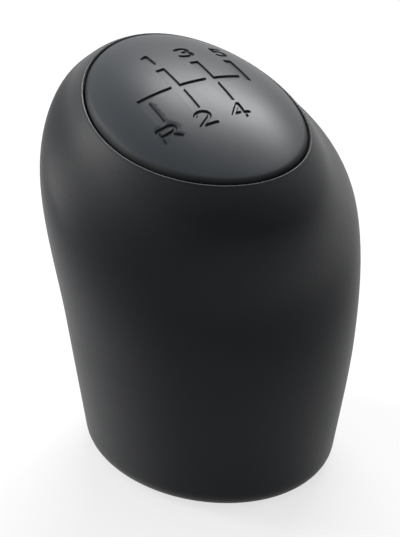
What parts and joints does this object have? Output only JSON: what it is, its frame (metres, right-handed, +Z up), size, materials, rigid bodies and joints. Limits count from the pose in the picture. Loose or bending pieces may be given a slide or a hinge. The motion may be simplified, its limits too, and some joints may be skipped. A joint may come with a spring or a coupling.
{
  "type": "gear shift knob",
  "caption": "Leaning oval gear shift knob with a soft grip, a blind lever bore underneath and a snap-in domed cap with a recessed shift gate.",
  "frame": {"origin": "centre of the lever bore's mouth, in the plane of the base", "axes": "+X to the driver's right, +Y forward in the car, +Z up along the lever"},
  "size_m": [0.0564, 0.0636, 0.0714],
  "materials": {
    "soft_grip": "matte, finely grained soft-touch moulding",
    "socket_plastic": "plain moulded, hidden inside the grip",
    "cap_plastic": "satin moulded"
  },
  "bodies": {
    "root": {"grip_body": "soft_grip", "lever_socket": "socket_plastic", "shift_pattern_cap": "cap_plastic"}
  },
  "joints": []
}
